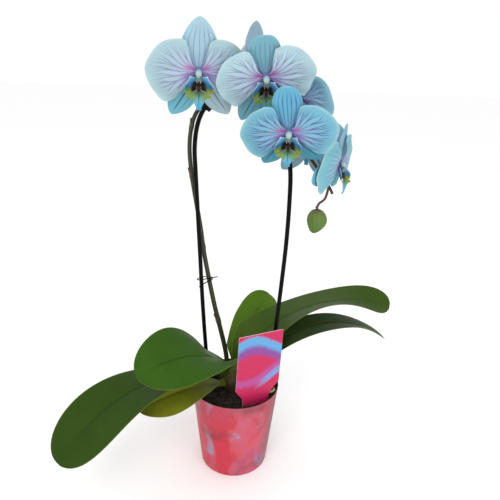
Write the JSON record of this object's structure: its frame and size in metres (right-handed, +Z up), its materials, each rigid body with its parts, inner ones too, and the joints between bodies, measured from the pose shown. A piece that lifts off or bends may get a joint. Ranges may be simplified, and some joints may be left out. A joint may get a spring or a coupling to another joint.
{
  "type": "potted moth orchid",
  "caption": "Moth orchid in a tapered plastic pot: arching leaves, a spike of blue veined blooms held to a wire hoop, a hanging bud and a plant label.",
  "frame": {"origin": "centre of the pot's underside", "axes": "+Z up; +X to the right and +Y away when the plant is seen from its front"},
  "size_m": [0.4379, 0.2406, 0.5901],
  "materials": {
    "pot": "satin printed plastic",
    "bark": "dark damp bark",
    "crown": "matt living stem",
    "root": "matt dry root",
    "leaf": "smooth waxy leaf",
    "leaf_pale": "smooth waxy leaf, yellow-green",
    "coated_wire": "glossy black coating on wire",
    "spike": "satin dark green stem",
    "petal": "soft matt petal",
    "lip": "waxy petal",
    "bud": "matt green bud",
    "clip_plastic": "black moulded plastic",
    "label": "printed plastic card"
  },
  "bodies": {
    "root": {"pot": "pot", "growing_medium": "bark", "crown": "crown", "aerial_root": "root", "leaf_left_long": "leaf", "leaf_left_broad": "leaf", "leaf_left_low": "leaf_pale", "leaf_right_long": "leaf", "leaf_right_low": "leaf", "leaf_back": "leaf", "support_hoop": "coated_wire", "flower_spike": "spike", "bloom_1": "petal", "bloom_1_lip": "lip", "bloom_2": "petal", "bloom_2_lip": "lip", "bloom_3": "petal", "bloom_3_lip": "lip", "bloom_4": "petal", "bloom_4_lip": "lip", "bloom_5": "petal", "bloom_5_lip": "lip", "bloom_6": "petal", "bloom_6_lip": "lip", "bloom_7": "petal", "bloom_7_lip": "lip", "bud": "bud", "twist_tie": "coated_wire", "stem_clip": "clip_plastic", "plant_label": "label"}
  },
  "joints": []
}
